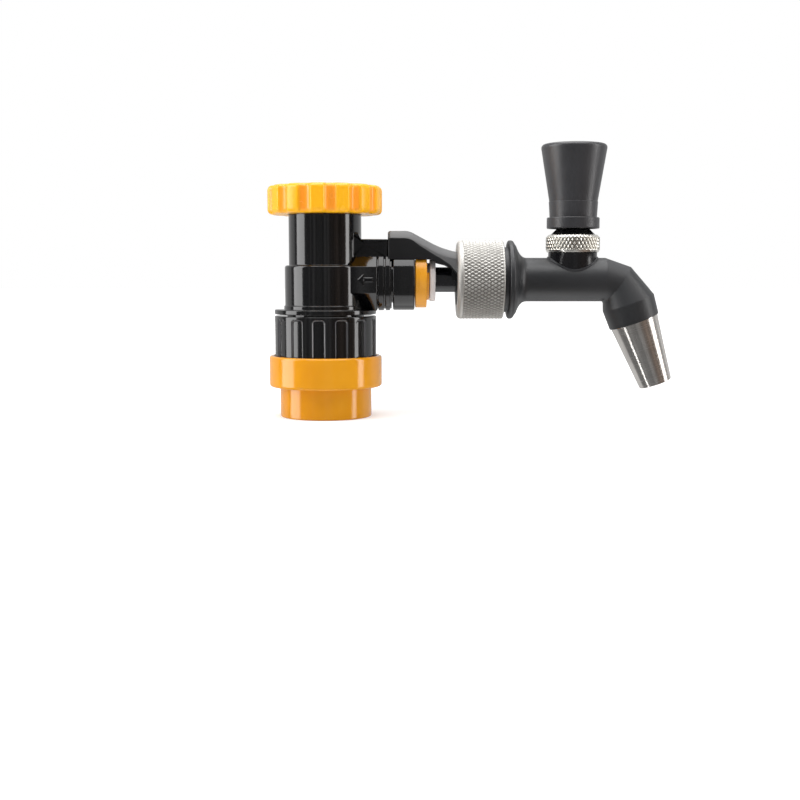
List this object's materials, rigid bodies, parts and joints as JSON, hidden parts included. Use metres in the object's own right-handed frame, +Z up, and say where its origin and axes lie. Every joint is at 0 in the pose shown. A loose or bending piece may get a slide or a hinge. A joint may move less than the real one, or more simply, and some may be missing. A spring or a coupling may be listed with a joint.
{
  "type": "disconnect beer tap",
  "caption": "Quick disconnect with a flow-control knob that carries a small lever tap on a rigid stem and support arm, with a slanted spout.",
  "frame": {"origin": "centre of the post socket's mouth, on the underside of the disconnect", "axes": "+Z up along the disconnect towards the knob, +X from the disconnect towards the tap's spout, +Y away from the viewer"},
  "size_m": [0.1305, 0.0366, 0.087],
  "materials": {
    "yellow_plastic": "smooth satin moulding",
    "orange_plastic": "smooth satin moulding",
    "black_plastic": "high gloss moulding",
    "grey_plastic": "fine matte moulding",
    "white_plastic": "natural acetal",
    "stainless": "machined and polished",
    "seal_rubber": "smooth rubber"
  },
  "bodies": {
    "frame": {"disconnect_body": "black_plastic", "ribbed_sleeve": "black_plastic", "release_spring": "stainless", "release_circlip": "stainless", "flow_seat": "white_plastic", "poppet_spring": "stainless", "outlet_cap": "black_plastic", "collet": "white_plastic", "stem_o_ring_inner": "seal_rubber", "stem_o_ring_outer": "seal_rubber", "o_ring_spacer": "white_plastic", "stem_tube": "black_plastic", "support_arm": "grey_plastic", "shank_snap_ring": "stainless", "tail_seal": "seal_rubber", "tap_body": "grey_plastic", "tail_bush": "white_plastic", "stem_tail_o_ring": "seal_rubber", "lever_lower_seat": "white_plastic", "lever_upper_seat": "black_plastic", "bonnet_nut": "stainless", "spout_tip": "stainless", "spout_o_ring": "seal_rubber"},
    "flow_valve": {"flow_needle": "white_plastic", "needle_o_ring": "seal_rubber"},
    "flow_knob_body": {"flow_knob": "yellow_plastic", "flow_spindle": "black_plastic"},
    "release_ring_body": {"release_ring": "yellow_plastic"},
    "ball_1": {"lock_ball_1": "stainless"},
    "ball_2": {"lock_ball_2": "stainless"},
    "ball_3": {"lock_ball_3": "stainless"},
    "poppet_body": {"poppet": "white_plastic", "poppet_seal": "seal_rubber"},
    "lock_clip": {"collet_lock_clip": "orange_plastic"},
    "nut": {"coupling_nut": "stainless"},
    "lever_body": {"lever": "stainless", "handle": "grey_plastic", "handle_insert": "stainless"},
    "shuttle_body": {"shuttle": "stainless", "shuttle_front_seal": "seal_rubber"}
  },
  "joints": [
    {"name": "needle_lift", "type": "slide", "parent": "frame", "child": "flow_valve", "axis": [0, 0, 1], "range_m": [0, 0.0015]},
    {"name": "knob_turn", "type": "hinge", "parent": "flow_valve", "child": "flow_knob_body", "pos_m": [0, 0, 0.06], "axis": [0, 0, 1], "range_deg": [0, 270]},
    {"name": "release_ring_lift", "type": "slide", "parent": "frame", "child": "release_ring_body", "axis": [0, 0, 1], "range_m": [0, 0.004], "stiffness_N_per_m": 800, "springref_m": -0.002, "deforming": ["release_spring"]},
    {"name": "ball_1_out", "type": "slide", "parent": "frame", "child": "ball_1", "axis": [1, 0, 0], "range_m": [0, 0.0006]},
    {"name": "ball_2_out", "type": "slide", "parent": "frame", "child": "ball_2", "axis": [-0.5, 0.866, 0], "range_m": [0, 0.0006]},
    {"name": "ball_3_out", "type": "slide", "parent": "frame", "child": "ball_3", "axis": [-0.5, -0.866, 0], "range_m": [0, 0.0006]},
    {"name": "poppet_lift", "type": "slide", "parent": "frame", "child": "poppet_body", "axis": [0, 0, 1], "range_m": [0, 0.003], "stiffness_N_per_m": 400, "deforming": ["poppet_spring"]},
    {"name": "clip_pull", "type": "slide", "parent": "frame", "child": "lock_clip", "axis": [0, 0, -1], "range_m": [0, 0.018]},
    {"name": "nut_spin", "type": "hinge", "parent": "frame", "child": "nut", "pos_m": [0.05, 0, 0.0441], "axis": [1, 0, 0], "continuous": true},
    {"name": "lever_tilt", "type": "hinge", "parent": "frame", "child": "lever_body", "pos_m": [0.0796, 0, 0.0554], "axis": [0, 1, 0], "range_deg": [0, 22]},
    {"name": "shuttle_slide", "type": "slide", "parent": "frame", "child": "shuttle_body", "axis": [1, 0, 0], "range_m": [-0.00424, 0]}
  ],
  "couplings": [
    {"joint": "needle_lift", "follows": "knob_turn", "m_per_rad": 0.00031831},
    {"joint": "ball_1_out", "follows": "release_ring_lift", "ratio": 0.15},
    {"joint": "ball_2_out", "follows": "release_ring_lift", "ratio": 0.15},
    {"joint": "ball_3_out", "follows": "release_ring_lift", "ratio": 0.15},
    {"joint": "shuttle_slide", "follows": "lever_tilt", "m_per_rad": -0.01104}
  ]
}
